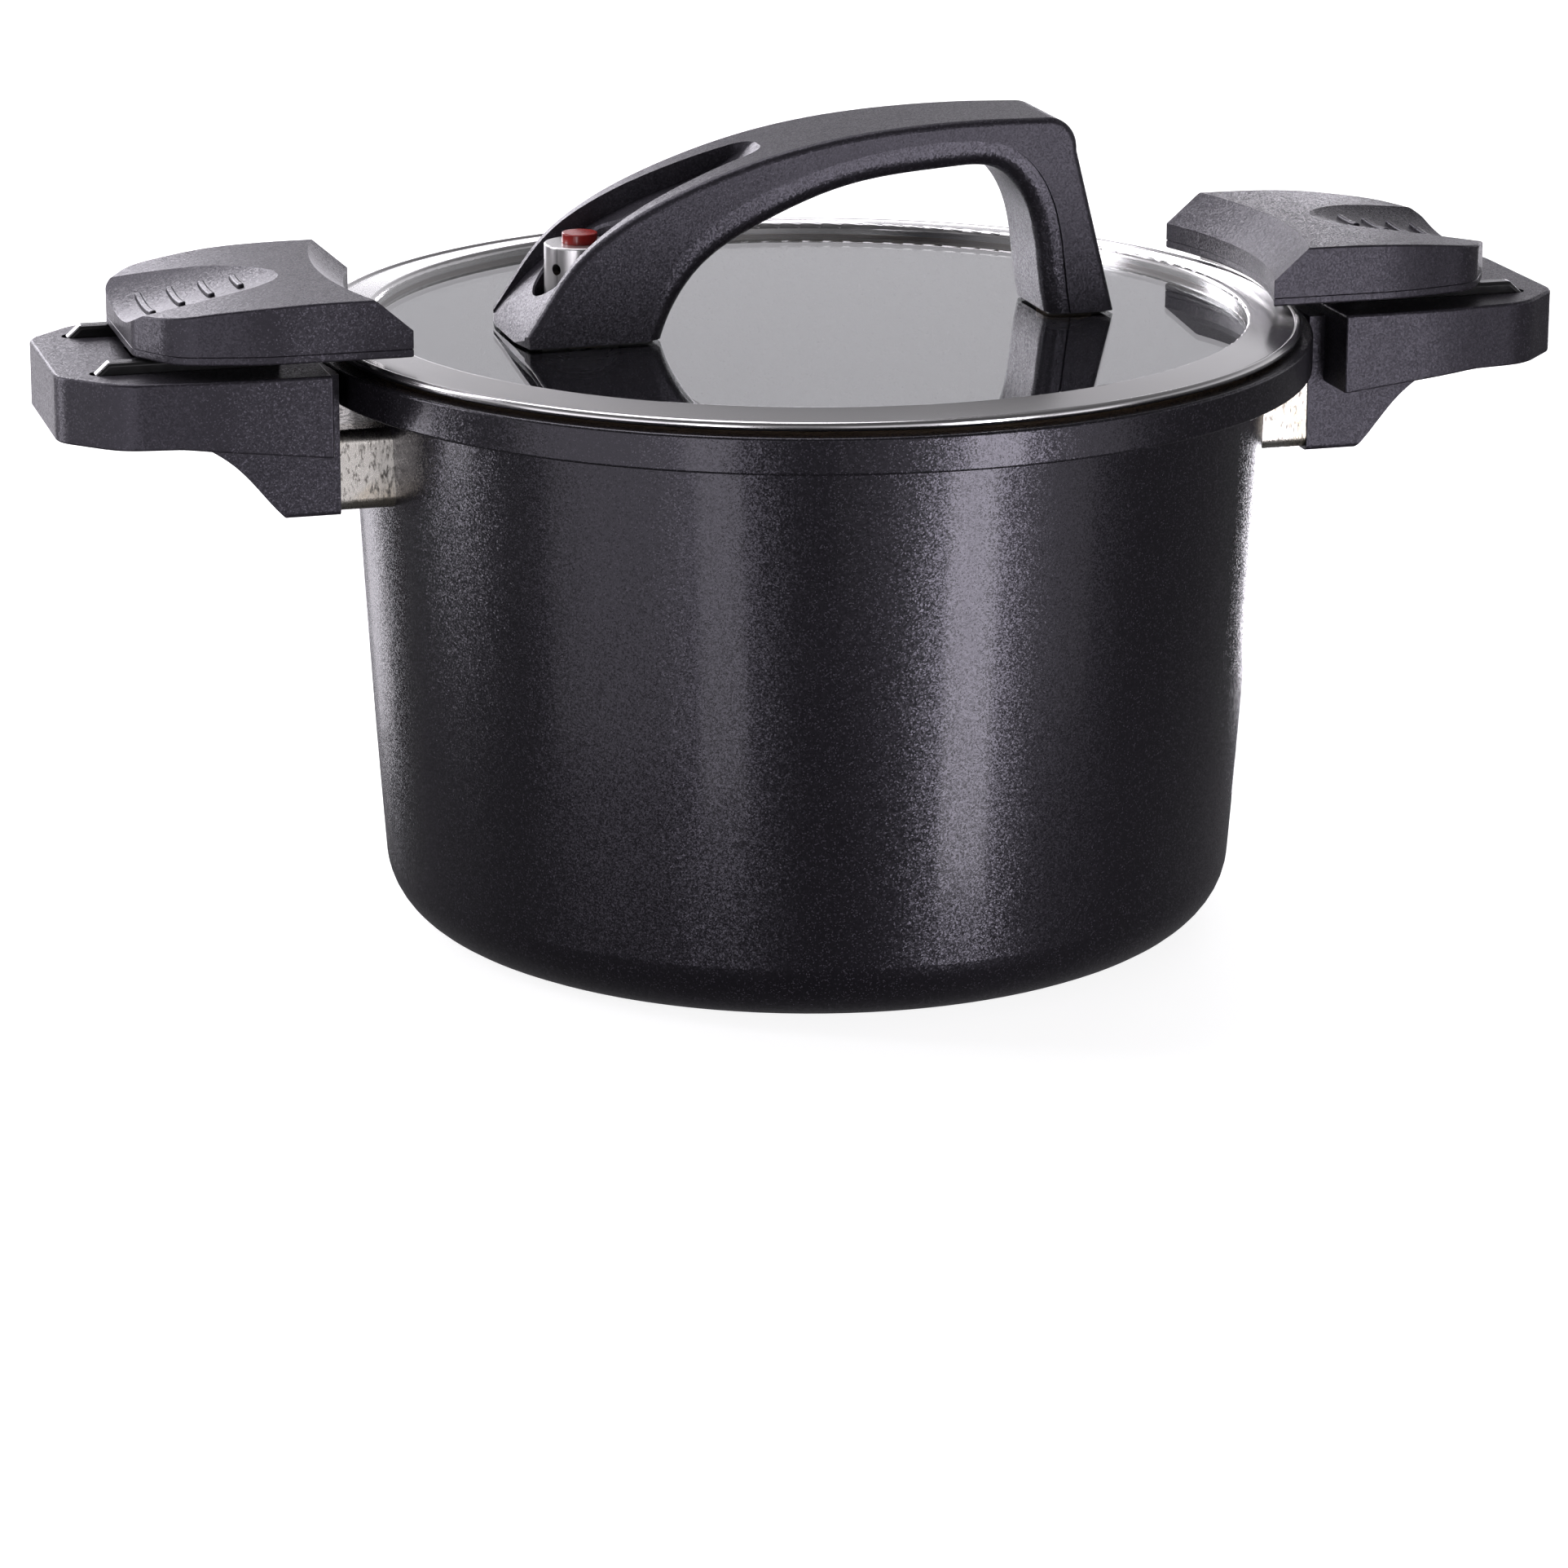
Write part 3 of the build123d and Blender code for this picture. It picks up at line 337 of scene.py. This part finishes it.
# ---------------------------------------------------------------- studio
def add_floor():
    """Pale floor that glows by itself, and is left out of reflections, bounces and shadows."""
    mesh = bpy.data.meshes.new("studio_floor")
    corners = [(-1, -1), (1, -1), (1, 1), (-1, 1)]
    vertices = [(FLOOR_RADIUS * x, FLOOR_RADIUS * y, -FLOOR_DROP) for x, y in corners]
    mesh.from_pydata(vertices, [], [(0, 1, 2, 3)])
    floor = bpy.data.objects.new("studio_floor", mesh)
    bpy.context.scene.collection.objects.link(floor)
    paper = Shader("floor_paper")
    paper.set("Base Color", paper.mix(paper.noise(3.0, 3.0), grey(0.40), grey(0.42)))
    paper.set("Roughness", 0.9)
    paper.set("Emission Color", grey(1.0))
    paper.set("Emission Strength", FLOOR_GLOW)
    mesh.materials.append(paper.material)
    floor.visible_glossy = False
    floor.visible_diffuse = False
    floor.visible_shadow = False


def from_camera(angle, distance, height):
    """Place round the pot; the angle is measured from the camera's side, + to its right."""
    turn = CAMERA_HEADING - math.radians(angle)
    return Vector((-distance * math.sin(turn), -distance * math.cos(turn), height))


def add_lamp(name, place, target, size, power):
    """Rectangular soft lamp that faces its target."""
    data = bpy.data.lights.new(name, "AREA")
    data.shape = "RECTANGLE"
    data.size, data.size_y = size
    data.energy = power
    data.color = LAMP_TONE
    lamp = bpy.data.objects.new(name, data)
    lamp.location = place
    lamp.visible_camera = False
    lamp.rotation_euler = (Vector(target) - place).to_track_quat("-Z", "Y").to_euler()
    bpy.context.scene.collection.objects.link(lamp)
    return lamp


def add_lamps():
    for name, (angle, distance, height, aim, width, length, power) in LAMPS.items():
        place = from_camera(angle, distance, height)
        add_lamp(name, place, (0.0, 0.0, aim), (width, length), power)
    place = from_camera(180, BACKDROP_DISTANCE, BACKDROP_HEIGHT)
    foot = from_camera(180, BACKDROP_DISTANCE, 0.0)
    backdrop = add_lamp("backdrop", place, foot, BACKDROP_SIZE, BACKDROP_POWER)
    backdrop.visible_glossy = False


def add_world():
    """Surroundings: palest behind the object, dimmer above and in front, dark below."""
    world = bpy.data.worlds.new("studio")
    world.use_nodes = True
    sky = Tree(world.node_tree)
    direction = sky.add("ShaderNodeTexCoord").outputs["Generated"]
    # up and away are the direction's parts along z and y, each from -1 to 1
    parts = sky.add("ShaderNodeSeparateXYZ", Vector=direction)
    up = parts.outputs["Z"]
    away = parts.outputs["Y"]
    overhead = sky.ramp(up, (0.27, 0.55), (0.85, 0.22))
    behind = sky.ramp(away, (-0.6, 0.5), (0.40, 1.0))
    horizon = sky.ramp(up, (-0.1, 0.02), (0.14, 1.0))
    around = sky.calculate("Math", "MULTIPLY", overhead, behind)
    strength = sky.calculate("Math", "MULTIPLY", around, horizon)
    background = sky.tree.nodes["Background"]
    sky.put(background, "Color", SKY_TONE)
    sky.put(background, "Strength", strength)
    bpy.context.scene.world = world


def add_camera():
    data = bpy.data.cameras.new("photo_camera")
    data.sensor_width = SENSOR_WIDTH
    data.lens = LENS
    data.shift_x, data.shift_y = SHIFT
    data.clip_end = CAMERA_REACH
    camera = bpy.data.objects.new("photo_camera", data)
    level = math.cos(CAMERA_PITCH)
    right = math.sin(CAMERA_HEADING) * level
    ahead = math.cos(CAMERA_HEADING) * level
    direction = Vector((right, ahead, -math.sin(CAMERA_PITCH)))
    facing = direction.to_track_quat("-Z", "Y").to_matrix().to_4x4()
    turn = facing @ Matrix.Rotation(CAMERA_ROLL, 4, "Z")
    camera.matrix_world = Matrix.Translation(CAMERA_PLACE) @ turn
    bpy.context.scene.collection.objects.link(camera)
    bpy.context.scene.camera = camera


# ---------------------------------------------------------------- build
dress_nodes()
let_spring_shorten()
add_floor()
add_world()
add_lamps()
add_camera()
bpy.context.scene.view_settings.view_transform = "Standard"
